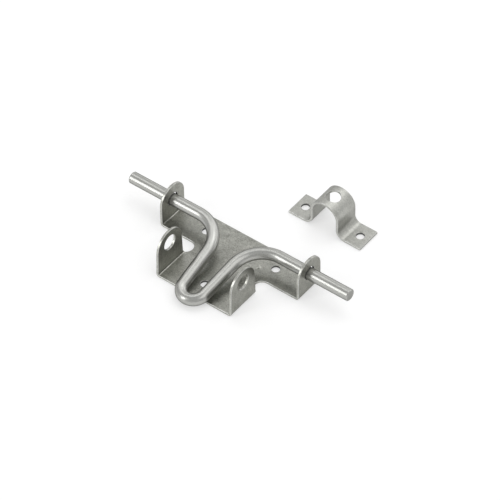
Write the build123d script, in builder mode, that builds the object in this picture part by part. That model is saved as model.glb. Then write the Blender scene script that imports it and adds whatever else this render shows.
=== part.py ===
from build123d import *
import os
from math import acos, atan2, cos, hypot, radians, sin

# Slide-action gate latch: a folded base plate, a bolt rod bent to a looped handle, and a strap strike.
# Millimetres. X runs along the bolt, Y towards the plate's back edge, Z up from the mounting face.
# The origin is on the mounting face, midway between the end ears and straight below the bolt's axis.

# Steel stock
sheet = 1.9  # thickness of the base plate
fold_radius = 1.0  # inside radius of the base plate's folds
rod_diameter = 9.5
strap = 1.9  # thickness of the strike

# Bar of the base plate, with an ear at each end that carries the bolt
bar_length = 129.0  # over the outer faces of the end ears
end_ear_width = 27.0
back_shoulder = 2.3  # by which the bar's back edge stands out behind the end ears
bolt_clearance = 1.5  # by which a bolt hole is wider than the rod
bolt_hole_height = 18.75  # of the hole's centre above the mounting face

# Tab of the base plate, with an ear at each side that takes a padlock
tab_width = 69.5  # over the outer faces of the side ears
notch_width = 12.6  # of the relief notch between the bar and a side ear
notch_depth = 5.6  # of the relief notch, in from the tab's side
side_ear_root = 29.8  # width of a side ear at its fold
side_ear_taper = 0.9  # by which each edge of a side ear draws in towards its round top
side_ear_height = 36.2
padlock_hole_diameter = 13.0
padlock_hole_margin = 5.3  # metal between the padlock hole and the top of the ear

# Screw holes and the pressed pip in the base plate
screw_hole_diameter = 6.6
bar_screw_spacing = 65.0
tab_screw_inset = 13.7  # from the tab's front edge to its screw hole
pip_diameter = 4.2
pip_height = 0.6
pip_offset = (21.6, -5.2)  # from the point below the middle of the bolt

# Bolt rod, with its handle lying forward over the tab
rod_length = 203.0
rod_end_chamfer = 0.6
handle_overhang = 9.6  # from the tab's front edge to the middle of the rod at the handle's nose
nose_radius = 9.8  # of the rod's centreline
root_radius = 26.0  # of the rod's centreline
leg_splay = 3.5  # degrees that each leg opens towards the bolt
seat_gap = 0.25  # under the rod in its ear holes
rest_gap = 0.3  # between the handle and the tab's front edge

# Strike, lying behind the right end of the base plate
strike_width = 22.2
strike_height = 29.0
arch_width = 25.4  # over the outer faces of the arch
foot_bend_radius = 6.0  # inside radius of the bend from foot to arch
foot_length = 14.5  # of a foot's flat, from its end to the bend
foot_screw_inset = 7.8  # from a foot's end to its screw hole
crown_clearance = 2.5  # by which the hole in the arch's crown is wider than the rod
strike_middle = (37.0, 65.7)

# Places that follow from the sizes above
fold_height = sheet + fold_radius
rod_radius = rod_diameter / 2
bolt_hole_radius = rod_radius + bolt_clearance / 2
rod_height = bolt_hole_height - bolt_clearance / 2 + seat_gap
bar_front = -end_ear_width / 2
bar_back = end_ear_width / 2 + back_shoulder
bar_middle = (bar_front + bar_back) / 2
notch_middle = bar_front - notch_width / 2
tab_front = bar_front - notch_width - side_ear_root
side_ear_middle = tab_front + side_ear_root / 2
padlock_hole_radius = padlock_hole_diameter / 2
padlock_hole_height = side_ear_height - padlock_hole_margin - padlock_hole_radius
pip_sphere_radius = ((pip_diameter / 2) ** 2 + pip_height**2) / (2 * pip_height)
handle_reach = handle_overhang - tab_front
arch_radius = arch_width / 2
strike_length = arch_width + 2 * (foot_bend_radius + foot_length)
foot_screw_place = strike_length / 2 - foot_screw_inset


def folded_section(plane, width, height):
    """Section of the sheet turned up at both sides."""
    with BuildSketch(plane) as section:
        with BuildLine():
            FilletPolyline(
                (-width / 2, height),
                (-width / 2, 0),
                (width / 2, 0),
                (width / 2, height),
                radius=fold_height,
            )
            offset(amount=sheet, side=Side.LEFT)
        make_face()
    return section.sketch


def side_outline(plane, front, back, ear_middle, ear_root, ear_top_radius, ear_height):
    """Outline seen along the bolt: a round-topped ear, hulled from its top and root, on the plate's flat."""
    with BuildSketch(plane) as outline:
        with Locations((ear_middle, ear_height - ear_top_radius)):
            Circle(ear_top_radius)
        with Locations((ear_middle, fold_height / 2)):
            Rectangle(ear_root, fold_height)
        make_hull()
        with Locations(((front + back) / 2, fold_height / 2)):
            Rectangle(back - front, fold_height)
    return outline.sketch


# Bar with its end ears
end_ear_height = bolt_hole_height + end_ear_width / 2
left_end = Plane.YZ.offset(-bar_length / 2)
bar_section = folded_section(Plane.XZ.offset(-bar_back), bar_length, end_ear_height)
with BuildPart() as bar:
    extrude(bar_section, amount=bar_back - bar_front)
    extrude(
        side_outline(left_end, bar_front, bar_back, 0, end_ear_width, end_ear_width / 2, end_ear_height),
        amount=bar_length,
        mode=Mode.INTERSECT,
    )
    with BuildSketch(left_end):
        with Locations((0, bolt_hole_height)):
            Circle(bolt_hole_radius)
    extrude(amount=bar_length, mode=Mode.SUBTRACT)
    with BuildSketch():
        for side in (-1, 1):
            with Locations((side * (bar_length - fold_height) / 2, bar_back - back_shoulder / 2)):
                Rectangle(fold_height, back_shoulder)
    extrude(amount=fold_height, mode=Mode.SUBTRACT)

# Tab with its side ears and relief notches
left_side = Plane.YZ.offset(-tab_width / 2)
notch_run = notch_depth + notch_width  # from the notch's round end to well outside the tab
tab_section = folded_section(Plane.XZ.offset(-notch_middle), tab_width, side_ear_height)
with BuildPart() as tab:
    extrude(tab_section, amount=notch_middle - tab_front)
    extrude(
        side_outline(
            left_side,
            tab_front,
            notch_middle,
            side_ear_middle,
            side_ear_root,
            side_ear_root / 2 - side_ear_taper,
            side_ear_height,
        ),
        amount=tab_width,
        mode=Mode.INTERSECT,
    )
    with BuildSketch(left_side):
        with Locations((side_ear_middle, padlock_hole_height)):
            Circle(padlock_hole_radius)
    extrude(amount=tab_width, mode=Mode.SUBTRACT)
    with BuildSketch():
        with Locations((0, (bar_front + notch_middle) / 2)):
            Rectangle(tab_width + notch_width / 2, bar_front - notch_middle)
    extrude(amount=sheet)
    with BuildSketch():
        for side in (-1, 1):
            with Locations((side * (tab_width / 2 - notch_depth + notch_run / 2), notch_middle)):
                SlotOverall(notch_run, notch_width)
    extrude(amount=fold_height, mode=Mode.SUBTRACT)


def pip_cap(base_height):
    """Low dome of the pressed pip, standing on the given height."""
    middle = (*pip_offset, base_height)
    with BuildSketch(Plane(origin=middle, x_dir=(1, 0, 0), z_dir=(0, -1, 0))) as half:
        with BuildLine():
            Line((0, pip_height), (0, 0))
            Line((0, 0), (pip_diameter / 2, 0))
            RadiusArc((pip_diameter / 2, 0), (0, pip_height), -pip_sphere_radius)
        make_face()
    with BuildPart() as cap:
        revolve(half.sketch, axis=Axis(middle, (0, 0, 1)))
    return cap.part


# Base plate: the bar and the tab are one sheet
with BuildPart() as base_plate:
    add(bar.part)
    add(tab.part)
    with Locations(
        (-bar_screw_spacing / 2, bar_middle, sheet),
        (bar_screw_spacing / 2, bar_middle, sheet),
        (0, tab_front + tab_screw_inset, sheet),
    ):
        Hole(screw_hole_diameter / 2, depth=sheet)
    add(pip_cap(sheet))
    add(pip_cap(0), mode=Mode.SUBTRACT)

# Handle's dip, at which its legs lie on the tab's front edge
edge_drop = rod_height - sheet
handle_dip = acos((rod_radius + rest_gap) / hypot(edge_drop, tab_front)) - atan2(-tab_front, edge_drop)
handle_plane = Plane(
    origin=(0, 0, rod_height), x_dir=(1, 0, 0), z_dir=(0, -sin(handle_dip), cos(handle_dip))
)

# Straight leg between the nose's bend and the root's bend, and the places where those bends end
splay = radians(leg_splay)
bends = root_radius + nose_radius
leg_length = (handle_reach - bends + bends * sin(splay)) / cos(splay)
root_start = bends * cos(splay) + leg_length * sin(splay)
root_end = (root_start - root_radius * cos(splay), root_radius * sin(splay) - root_radius)
nose_end = (nose_radius * cos(splay), nose_radius - nose_radius * sin(splay) - handle_reach)


def mirrored(point):
    """The same point on the left side of the handle."""
    return (-point[0], point[1])


# Bolt rod: one bar swept from its right end through the handle to its left end
with BuildPart() as bolt_rod:
    with BuildLine(handle_plane) as route:
        Line((rod_length / 2, 0), (root_start, 0))
        RadiusArc((root_start, 0), root_end, -root_radius)
        Line(root_end, nose_end)
        ThreePointArc(nose_end, (0, -handle_reach), mirrored(nose_end))
        Line(mirrored(nose_end), mirrored(root_end))
        RadiusArc(mirrored(root_end), (-root_start, 0), -root_radius)
        Line((-root_start, 0), (-rod_length / 2, 0))
    with BuildSketch(Plane.YZ.offset(rod_length / 2)):
        with Locations((0, rod_height)):
            Circle(rod_radius)
    sweep(path=route.wire())
    rod_ends = bolt_rod.faces().filter_by(Axis.X)
    chamfer(rod_ends.edges(), length=rod_end_chamfer)

# Strike: half of the strap's top line, mirrored, then thickened downwards
with BuildPart() as strike:
    strike_end = Plane(
        origin=(strike_middle[0], strike_middle[1] + strike_width / 2, 0), x_dir=(1, 0, 0), z_dir=(0, -1, 0)
    )
    arch_spring = strike_height - arch_radius
    with BuildSketch(strike_end):
        with BuildLine():
            Line((strike_length / 2, strap), (arch_radius + foot_bend_radius, strap))
            RadiusArc(
                (arch_radius + foot_bend_radius, strap),
                (arch_radius, strap + foot_bend_radius),
                foot_bend_radius,
            )
            Line((arch_radius, strap + foot_bend_radius), (arch_radius, arch_spring))
            RadiusArc((arch_radius, arch_spring), (0, strike_height), -arch_radius)
            mirror(about=Plane.YZ)
            offset(amount=strap, side=Side.LEFT)
        make_face()
    extrude(amount=strike_width)
    with Locations(
        (strike_middle[0] - foot_screw_place, strike_middle[1], strap),
        (strike_middle[0] + foot_screw_place, strike_middle[1], strap),
    ):
        Hole(screw_hole_diameter / 2, depth=strap)
    with Locations((*strike_middle, strike_height)):
        Hole(rod_radius + crown_clearance / 2, depth=arch_radius)

os.makedirs("parts", exist_ok=True)
for label, piece in (("base_plate", base_plate), ("bolt_rod", bolt_rod), ("strike", strike)):
    piece.part.label = label
    export_step(piece.part, f"parts/{label}.step")
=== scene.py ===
import math

import bpy
from mathutils import Matrix, Vector

# Looks of a slide-action gate latch: satin zinc-plated steel on a white table.
# Metres, in the part's own frame: X along the bolt, Y to the plate's back edge, Z up from the mounting face.

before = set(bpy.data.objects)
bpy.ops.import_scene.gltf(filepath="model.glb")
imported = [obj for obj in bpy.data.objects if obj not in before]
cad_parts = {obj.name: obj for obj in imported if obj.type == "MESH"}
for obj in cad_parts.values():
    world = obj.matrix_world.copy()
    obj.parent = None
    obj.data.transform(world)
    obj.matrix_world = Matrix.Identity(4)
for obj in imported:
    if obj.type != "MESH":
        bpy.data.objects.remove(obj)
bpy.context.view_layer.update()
MM = 0.001

# Camera, as it stood for the photograph
VIEW_AZIMUTH = math.radians(38.14)
VIEW_ELEVATION = math.radians(46.18)
VIEW_ROLL = math.radians(-0.955)
VIEW_DISTANCE = 2.755
VIEW_TARGET = Vector((0.00429, 0.00666, -0.00025))
VIEW_REACH = 100.0
LENS_MM = 267.4
SENSOR_MM = 36.0

# Table and room
FLOOR_SIZE = 8.0
FLOOR_DROP = 0.05 * MM  # keeps the table just clear of the plate's underside
FLOOR_WHITE = 0.56
FLOOR_GLOW = 0.46
FLOOR_ROUGHNESS = 0.9
ROOM_LIGHT = 0.6
WHITE = (1.0, 1.0, 1.0, 1.0)

# Soft lamps, all turned to the latch: name, place, width and height, watts
LAMPS = (
    ("front left", (-0.7, -1.25, 0.66), (0.4, 1.0), 4.6),
    ("left", (-1.2, 0.43, 0.98), (1.0, 0.7), 1.5),
    ("overhead", (0.6, 0.5, 1.45), (3.4, 1.3), 11.5),
    ("back", (0.1, 1.6, 0.55), (3.0, 0.6), 6.0),
    ("zenith", (-0.32, 0.5, 1.45), (1.8, 0.35), 2.8),
)

# Edges of the pieces
SHEET_RIM = 0.3 * MM  # rounding of the sheet's cut edges
ROD_RIM = 0.15 * MM
RIM_STEPS = 3
RIM_ANGLE = math.radians(35)  # outer corners sharper than this are rounded
FLAT_ANGLE = math.radians(0.5)  # facets that turn less than this are one face
WELD_REACH = 0.001 * MM
RIM_SLOT = 1  # of the rim's finish among a piece's materials
FACE_WEIGHT = 50  # by which large faces lead the shading

# Ledge that the notch leaves behind each side ear: its middle, without signs, and its reach either way
LEDGE_MIDDLE = (33.4 * MM, 25.7 * MM, 2.4 * MM)
LEDGE_REACH = (1.5 * MM, 0.6 * MM, 0.6 * MM)

# Directions in which the steel was rolled and drawn
HANDLE_DIP = math.radians(11.33)  # of the bolt's handle, from its axis down to the tab's front edge
HANDLE_NORMAL = (0.0, -math.sin(HANDLE_DIP), math.cos(HANDLE_DIP))
STEEPEST = 0.9999  # sine at which the angle round the rod stops

# Zinc coat and stock lines: each noise's scale per metre, its finer steps and their strength
PATCH_SCALE = 150.0
PATCH_DETAIL = 5.0
PATCH_ROUGHNESS = 0.62
GRAIN_SCALE = 1300.0
GRAIN_DETAIL = 2.0
GRAIN_ROUGHNESS = 0.5
SHEET_LINES = 2200.0
ROD_LINES = 14.0  # per radian round the rod
RUN_SCALE = 25.0  # along the stock
LINE_DETAIL = 3.0
LINE_ROUGHNESS = 0.6
TONE_SPREAD = (0.36, 0.64)  # tones over which the dark colour passes into the light one
GLOSS_SPREAD = (0.3, 0.7)  # tones over which the smooth finish passes into the rough one
TONE_DEPTH = 0.04 * MM  # of the unevenness that goes with the tone
COAT_GLOSS = 0.1

# Holes through the sheet, whose walls get painted shade that darkens them below the sheet: middle,
# directions across, radius
THROUGH_FLAT = (1.0, 1.0, 0.0)
THROUGH_EAR = (0.0, 1.0, 1.0)
SCREW_HOLE_RADIUS = 3.3 * MM
BOLT_HOLE_RADIUS = 5.5 * MM
PLATE_HOLES = (
    ((-32.5 * MM, 1.15 * MM, 0.0), THROUGH_FLAT, SCREW_HOLE_RADIUS),
    ((32.5 * MM, 1.15 * MM, 0.0), THROUGH_FLAT, SCREW_HOLE_RADIUS),
    ((0.0, -42.2 * MM, 0.0), THROUGH_FLAT, SCREW_HOLE_RADIUS),
    ((0.0, 0.0, 18.75 * MM), THROUGH_EAR, BOLT_HOLE_RADIUS),
)
STRIKE_HOLES = (
    ((11.6 * MM, 65.7 * MM, 0.0), THROUGH_FLAT, SCREW_HOLE_RADIUS),
    ((62.4 * MM, 65.7 * MM, 0.0), THROUGH_FLAT, SCREW_HOLE_RADIUS),
)
WALL_BLEND = 0.25 * MM  # over which the painted shade on a hole's wall fades into the sheet's face
WALL_SHADE = 0.2  # painted shade on a hole's wall, as a share of the sheet's own colour

# Sheared edges of the sheet, brighter than its faces by a painted highlight
EDGE_START = 0.1  # turn towards Y at which an edge begins to show
EDGE_FULL = 0.5
PAINTED_EDGE_HIGHLIGHT = 1.3  # painted highlight on the sheared edges, as a share of the sheet's own colour


def new_group(name, inputs, outputs):
    """Empty shader node group with named sockets; returns it with its input and output nodes."""
    group = bpy.data.node_groups.new(name, "ShaderNodeTree")
    for label, kind, value in inputs:
        socket = group.interface.new_socket(label, in_out="INPUT", socket_type=kind)
        if value is not None:
            socket.default_value = value
    for label, kind in outputs:
        group.interface.new_socket(label, in_out="OUTPUT", socket_type=kind)
    return group, group.nodes.new("NodeGroupInput"), group.nodes.new("NodeGroupOutput")


def add_node(tree, kind, links=None, **settings):
    """New node with its settings, and with values or other nodes' outputs on its inputs."""
    node = tree.nodes.new(kind)
    for key, value in settings.items():
        setattr(node, key, value)
    for key, value in (links or {}).items():
        if isinstance(value, bpy.types.NodeSocket):
            tree.links.new(value, node.inputs[key])
        else:
            node.inputs[key].default_value = value
    return node


def math_node(tree, operation, *values):
    """Output of a math node over values or sockets."""
    return add_node(tree, "ShaderNodeMath", dict(enumerate(values)), operation=operation).outputs[0]


def vector_node(tree, operation, *values, output="Vector"):
    """Output of a vector math node over values or sockets."""
    node = add_node(tree, "ShaderNodeVectorMath", dict(enumerate(values)), operation=operation)
    return node.outputs[output]


def scaled(tree, vector, scale):
    """A vector or colour times a number."""
    node = add_node(tree, "ShaderNodeVectorMath", {0: vector, "Scale": scale}, operation="SCALE")
    return node.outputs["Vector"]


def ranged(tree, value, start, end, low=0.0, high=1.0):
    """A value carried from its range from start to end to the range from low to high, and held to that."""
    inputs = {"Value": value, "From Min": start, "From Max": end, "To Min": low, "To Max": high}
    return add_node(tree, "ShaderNodeMapRange", inputs).outputs[0]


def noise(tree, place, scale, detail, roughness):
    """Value of a noise at a place."""
    inputs = {"Vector": place, "Scale": scale, "Detail": detail, "Roughness": roughness}
    return add_node(tree, "ShaderNodeTexNoise", inputs).outputs[0]


def zinc_bloom():
    """Cloudy grey of a zinc coat, from patches of a few millimetres down to a fine grain."""
    group, given, made = new_group(
        "zinc bloom",
        [("Patch Scale", "NodeSocketFloat", PATCH_SCALE), ("Grain Scale", "NodeSocketFloat", GRAIN_SCALE)],
        [("Tone", "NodeSocketFloat"), ("Grain", "NodeSocketFloat")],
    )
    place = add_node(group, "ShaderNodeTexCoord").outputs["Object"]
    patches = noise(group, place, given.outputs["Patch Scale"], PATCH_DETAIL, PATCH_ROUGHNESS)
    grain = noise(group, place, given.outputs["Grain Scale"], GRAIN_DETAIL, GRAIN_ROUGHNESS)
    group.links.new(patches, made.inputs["Tone"])
    group.links.new(grain, made.inputs["Grain"])
    return group


def stock_lines():
    """Fine lines left by rolling or drawing: quick changes across the stock, slow ones along it."""
    group, given, made = new_group(
        "stock lines",
        [
            ("Across", "NodeSocketFloat", 0.0),
            ("Line Scale", "NodeSocketFloat", SHEET_LINES),
            ("Run Scale", "NodeSocketFloat", RUN_SCALE),
        ],
        [("Line", "NodeSocketFloat")],
    )
    place = add_node(group, "ShaderNodeTexCoord").outputs["Object"]
    run = scaled(group, place, given.outputs["Run Scale"])
    across = math_node(group, "MULTIPLY", given.outputs["Across"], given.outputs["Line Scale"])
    parts = add_node(group, "ShaderNodeSeparateXYZ", {"Vector": run})
    ahead = math_node(group, "ADD", parts.outputs["X"], parts.outputs["Z"])
    lines = add_node(group, "ShaderNodeCombineXYZ", {"X": across, "Y": ahead, "Z": parts.outputs["Y"]})
    line = noise(group, lines.outputs[0], 1.0, LINE_DETAIL, LINE_ROUGHNESS)  # its place is scaled already
    group.links.new(line, made.inputs["Line"])
    return group


def hole_shade_mask():
    """Mask of the wall of one round hole through the sheet, which gets painted shade."""
    group, given, made = new_group(
        "hole shade mask",
        [
            ("Middle", "NodeSocketVector", None),
            ("Across", "NodeSocketVector", THROUGH_FLAT),
            ("Radius", "NodeSocketFloat", SCREW_HOLE_RADIUS),
        ],
        [("Shaded Wall", "NodeSocketFloat")],
    )
    place = add_node(group, "ShaderNodeTexCoord").outputs["Object"]
    aside = vector_node(group, "SUBTRACT", place, given.outputs["Middle"])
    level = vector_node(group, "MULTIPLY", aside, given.outputs["Across"])
    away = vector_node(group, "LENGTH", level, output="Value")
    edge = math_node(group, "ADD", given.outputs["Radius"], WALL_BLEND)
    wall = ranged(group, away, given.outputs["Radius"], edge, 1.0, 0.0)
    group.links.new(wall, made.inputs["Shaded Wall"])
    return group


def edge_highlight_mask():
    """Mask of the sheet's cut edges, which get a painted highlight: its faces and folds never look along Y,
    and its edges mostly do.
    """
    group, given, made = new_group(
        "sheared edge",
        [("Start", "NodeSocketFloat", EDGE_START), ("Full", "NodeSocketFloat", EDGE_FULL)],
        [("Edge", "NodeSocketFloat")],
    )
    facing = add_node(group, "ShaderNodeNewGeometry").outputs["Normal"]
    parts = add_node(group, "ShaderNodeSeparateXYZ", {"Vector": facing})
    along = math_node(group, "ABSOLUTE", parts.outputs["Y"])
    edge = ranged(group, along, given.outputs["Start"], given.outputs["Full"])
    group.links.new(edge, made.inputs["Edge"])
    return group


def new_steel(name, metallic, edge_tint):
    """Material with a metallic shader; returns the material, its tree and the shader."""
    material = bpy.data.materials.new(name)
    material.use_nodes = True
    tree = material.node_tree
    shader = tree.nodes["Principled BSDF"]
    shader.inputs["Metallic"].default_value = metallic
    shader.inputs["Specular Tint"].default_value = (edge_tint, edge_tint, edge_tint, 1.0)
    shader.inputs["Specular IOR Level"].default_value = COAT_GLOSS
    return material, tree, shader


def painted_highlight_and_shade(tree, holes):
    """Share of the steel's colour that shows: a painted highlight makes it more on sheared edges, and
    painted shade makes it less on the walls of the holes.
    """
    # painted highlight on the sheared edges
    edge = add_node(tree, "ShaderNodeGroup", node_tree=EDGE_HIGHLIGHT_MASK).outputs["Edge"]
    shade = ranged(tree, edge, 0.0, 1.0, 1.0, PAINTED_EDGE_HIGHLIGHT)
    for middle, across, radius in holes:
        hole = add_node(tree, "ShaderNodeGroup", node_tree=HOLE_SHADE_MASK)
        hole.inputs["Middle"].default_value = middle
        hole.inputs["Across"].default_value = across
        hole.inputs["Radius"].default_value = radius
        # painted shade on this hole's wall
        painted_hole_shade = ranged(tree, hole.outputs["Shaded Wall"], 0.0, 1.0, 1.0, WALL_SHADE)
        shade = math_node(tree, "MULTIPLY", painted_hole_shade, shade)
    return shade


def satin_steel(
    name, dark, light, roughness, across, line_scale, mix, bump_strength, metallic, edge_tint, holes=()
):
    """Satin zinc-plated steel; mix weighs its patches, its specks and the lines along its stock."""
    material, tree, shader = new_steel(name, metallic, edge_tint)
    bloom = add_node(tree, "ShaderNodeGroup", node_tree=ZINC_BLOOM)
    lines = add_node(tree, "ShaderNodeGroup", node_tree=STOCK_LINES)
    lines.inputs["Line Scale"].default_value = line_scale
    tree.links.new(across(tree), lines.inputs["Across"])
    patches, specks, streaks = mix
    tone = math_node(tree, "MULTIPLY", bloom.outputs["Tone"], patches)
    tone = math_node(tree, "MULTIPLY_ADD", bloom.outputs["Grain"], specks, tone)
    tone = math_node(tree, "MULTIPLY_ADD", lines.outputs["Line"], streaks, tone)
    colour = add_node(tree, "ShaderNodeMix", {"Factor": ranged(tree, tone, *TONE_SPREAD)}, data_type="RGBA")
    colour.inputs["A"].default_value = (*dark, 1.0)
    colour.inputs["B"].default_value = (*light, 1.0)
    shown = colour.outputs["Result"]
    # painted highlight on the sheared edges and painted shade on the hole walls
    if holes:
        shown = scaled(tree, shown, painted_highlight_and_shade(tree, holes))
    tree.links.new(shown, shader.inputs["Base Color"])
    tree.links.new(ranged(tree, tone, *GLOSS_SPREAD, *roughness), shader.inputs["Roughness"])
    bump = add_node(
        tree, "ShaderNodeBump", {"Height": tone, "Strength": bump_strength, "Distance": TONE_DEPTH}
    )
    tree.links.new(bump.outputs["Normal"], shader.inputs["Normal"])
    return material


def across_sheet(tree):
    """Place across the rolled lines of folded sheet: its folds all run along Y, and so it is Y itself."""
    place = add_node(tree, "ShaderNodeTexCoord").outputs["Object"]
    return add_node(tree, "ShaderNodeSeparateXYZ", {"Vector": place}).outputs["Y"]


def around_rod(tree):
    """Angle round the bar, the same all along its bends, as they lie in one plane."""
    facing = add_node(tree, "ShaderNodeNewGeometry").outputs["Normal"]
    lift = vector_node(tree, "DOT_PRODUCT", facing, HANDLE_NORMAL, output="Value")
    held = math_node(tree, "MAXIMUM", math_node(tree, "MINIMUM", lift, STEEPEST), -STEEPEST)
    return math_node(tree, "ARCSINE", held)


def outer_corners():
    """Tree that marks the edges to round: outer corners, apart from the thin ledge behind each side ear."""
    tree = bpy.data.node_groups.new("outer corners", "GeometryNodeTree")
    for way in ("INPUT", "OUTPUT"):
        tree.interface.new_socket("Geometry", in_out=way, socket_type="NodeSocketGeometry")
    turn = add_node(tree, "GeometryNodeInputMeshEdgeAngle").outputs["Signed Angle"]
    corner = math_node(tree, "GREATER_THAN", turn, RIM_ANGLE)
    ends = add_node(tree, "GeometryNodeInputMeshEdgeVertices")
    beyond = []
    for end in ("Position 1", "Position 2"):
        place = vector_node(tree, "ABSOLUTE", ends.outputs[end])
        apart = vector_node(tree, "ABSOLUTE", vector_node(tree, "SUBTRACT", place, LEDGE_MIDDLE))
        past = vector_node(tree, "SUBTRACT", apart, LEDGE_REACH)
        parts = add_node(tree, "ShaderNodeSeparateXYZ", {"Vector": past}).outputs
        sideways = math_node(tree, "MAXIMUM", parts["X"], parts["Y"])
        beyond.append(math_node(tree, "MAXIMUM", sideways, parts["Z"]))
    clear = math_node(tree, "GREATER_THAN", math_node(tree, "MAXIMUM", *beyond), 0.0)
    marked = add_node(
        tree,
        "GeometryNodeStoreNamedAttribute",
        {"Geometry": tree.nodes.new("NodeGroupInput").outputs[0], "Name": "bevel_weight_edge"},
        data_type="FLOAT",
        domain="EDGE",
    )
    tree.links.new(math_node(tree, "MULTIPLY", corner, clear), marked.inputs["Value"])
    tree.links.new(marked.outputs["Geometry"], tree.nodes.new("NodeGroupOutput").inputs[0])
    return tree


def soften_edges(piece, rim):
    """Rounds the outer corners of a piece and smooths its faces."""
    weld = piece.modifiers.new("joined faces", "WELD")
    weld.merge_threshold = WELD_REACH
    flats = piece.modifiers.new("whole flats", "DECIMATE")
    flats.decimate_type = "DISSOLVE"
    flats.angle_limit = FLAT_ANGLE
    corners = piece.modifiers.new("outer corners", "NODES")
    corners.node_group = OUTER_CORNERS
    bevel = piece.modifiers.new("rounded edges", "BEVEL")
    bevel.width = rim
    bevel.segments = RIM_STEPS
    bevel.limit_method = "WEIGHT"
    bevel.use_clamp_overlap = False
    bevel.loop_slide = False
    bevel.material = RIM_SLOT
    joined = piece.modifiers.new("joined corners", "WELD")
    joined.merge_threshold = WELD_REACH
    normals = piece.modifiers.new("even shading", "WEIGHTED_NORMAL")
    normals.mode = "FACE_AREA_WITH_ANGLE"
    normals.weight = FACE_WEIGHT


def dress(node, finish, rim_finish, rim):
    """Gives a CAD node its finish, and rounded edges with a finish of their own."""
    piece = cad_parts[node]
    piece.data.materials.clear()
    piece.data.materials.append(finish)
    piece.data.materials.append(rim_finish)
    soften_edges(piece, rim)


def place_camera():
    """Camera at the photograph's place, turned a little about its own axis."""
    back = Vector(
        (
            math.sin(VIEW_AZIMUTH) * math.cos(VIEW_ELEVATION),
            -math.cos(VIEW_AZIMUTH) * math.cos(VIEW_ELEVATION),
            math.sin(VIEW_ELEVATION),
        )
    )
    level = Vector((math.cos(VIEW_AZIMUTH), math.sin(VIEW_AZIMUTH), 0.0))
    upright = back.cross(level)
    right = level * math.cos(VIEW_ROLL) + upright * math.sin(VIEW_ROLL)
    up = upright * math.cos(VIEW_ROLL) - level * math.sin(VIEW_ROLL)
    camera = bpy.data.objects.new("camera", bpy.data.cameras.new("camera"))
    camera.data.lens = LENS_MM
    camera.data.sensor_width = SENSOR_MM
    camera.data.clip_end = VIEW_REACH
    turn = Matrix((right, up, back)).transposed().to_4x4()
    camera.matrix_world = Matrix.Translation(VIEW_TARGET + back * VIEW_DISTANCE) @ turn
    bpy.context.scene.collection.objects.link(camera)
    bpy.context.scene.camera = camera


def softbox(name, place, size, power):
    """Oblong soft lamp, turned to the latch."""
    lamp = bpy.data.objects.new(name, bpy.data.lights.new(name, "AREA"))
    lamp.data.shape = "RECTANGLE"
    lamp.data.size, lamp.data.size_y = size
    lamp.data.energy = power
    aim = -Vector(place)
    lamp.matrix_world = Matrix.Translation(place) @ aim.to_track_quat("-Z", "Y").to_matrix().to_4x4()
    bpy.context.scene.collection.objects.link(lamp)


def shown_plain(tree):
    """Mask of the rays that see the table itself: from the eye, by way of metal or through glass."""
    path = add_node(tree, "ShaderNodeLightPath")
    seen = math_node(tree, "MAXIMUM", path.outputs["Is Camera Ray"], path.outputs["Is Glossy Ray"])
    return math_node(tree, "MAXIMUM", seen, path.outputs["Is Transmission Ray"])


def lay_table():
    """White table under the latch."""
    mesh = bpy.data.meshes.new("table")
    half = FLOOR_SIZE / 2
    sides = ((-half, -half), (half, -half), (half, half), (-half, half))
    mesh.from_pydata([(x, y, -FLOOR_DROP) for x, y in sides], [], [(0, 1, 2, 3)])
    table = bpy.data.objects.new("table", mesh)
    bpy.context.scene.collection.objects.link(table)
    white = bpy.data.materials.new("white table")
    white.use_nodes = True
    shader = white.node_tree.nodes["Principled BSDF"]
    shader.inputs["Base Color"].default_value = (FLOOR_WHITE, FLOOR_WHITE, FLOOR_WHITE, 1.0)
    shader.inputs["Roughness"].default_value = FLOOR_ROUGHNESS
    shader.inputs["Specular IOR Level"].default_value = 0.0
    shader.inputs["Emission Color"].default_value = WHITE
    glow = math_node(white.node_tree, "MULTIPLY", shown_plain(white.node_tree), FLOOR_GLOW)
    white.node_tree.links.new(glow, shader.inputs["Emission Strength"])
    mesh.materials.append(white)


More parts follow.
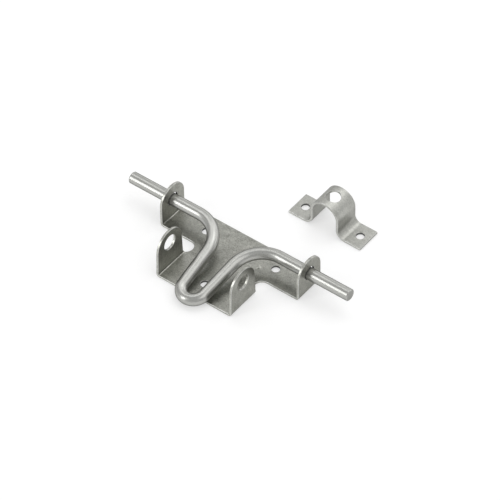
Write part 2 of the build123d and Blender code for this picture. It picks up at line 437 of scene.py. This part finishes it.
def light_room():
    """White room round the table."""
    world = bpy.data.worlds.new("white room")
    world.use_nodes = True
    room = world.node_tree.nodes["Background"]
    room.inputs["Color"].default_value = WHITE
    room.inputs["Strength"].default_value = ROOM_LIGHT
    bpy.context.scene.world = world


ZINC_BLOOM = zinc_bloom()
STOCK_LINES = stock_lines()
HOLE_SHADE_MASK = hole_shade_mask()
EDGE_HIGHLIGHT_MASK = edge_highlight_mask()
OUTER_CORNERS = outer_corners()
plate_steel = satin_steel(
    "plate steel",
    dark=(0.225, 0.226, 0.204),
    light=(0.508, 0.51, 0.467),
    roughness=(0.28, 0.36),
    across=across_sheet,
    line_scale=SHEET_LINES,
    mix=(0.3, 0.5, 0.2),
    bump_strength=0.3,
    metallic=0.95,
    edge_tint=0.4,
    holes=PLATE_HOLES,
)
rod_steel = satin_steel(
    "rod steel",
    dark=(0.38, 0.382, 0.361),
    light=(0.53, 0.532, 0.509),
    roughness=(0.26, 0.31),
    across=around_rod,
    line_scale=ROD_LINES,
    mix=(0.15, 0.25, 0.6),
    bump_strength=0.02,
    metallic=0.9,
    edge_tint=0.12,
)
strike_steel = satin_steel(
    "strike steel",
    dark=(0.34, 0.342, 0.317),
    light=(0.56, 0.562, 0.528),
    roughness=(0.34, 0.41),
    across=across_sheet,
    line_scale=SHEET_LINES,
    mix=(0.3, 0.45, 0.25),
    bump_strength=0.3,
    metallic=0.75,
    edge_tint=0.4,
    holes=STRIKE_HOLES,
)
rim_steel = satin_steel(
    "bare rim",
    dark=(0.38, 0.384, 0.373),
    light=(0.52, 0.525, 0.512),
    roughness=(0.26, 0.32),
    across=across_sheet,
    line_scale=SHEET_LINES,
    mix=(0.8, 0.2, 0.0),
    bump_strength=0.02,
    metallic=0.95,
    edge_tint=0.2,
    holes=PLATE_HOLES + STRIKE_HOLES,
)
dress("base_plate", plate_steel, rim_steel, SHEET_RIM)
dress("bolt_rod", rod_steel, rod_steel, ROD_RIM)
dress("strike", strike_steel, rim_steel, SHEET_RIM)

place_camera()
lay_table()
light_room()
for lamp_name, lamp_place, lamp_size, lamp_power in LAMPS:
    softbox(lamp_name, lamp_place, lamp_size, lamp_power)

bpy.context.scene.view_settings.view_transform = "Standard"
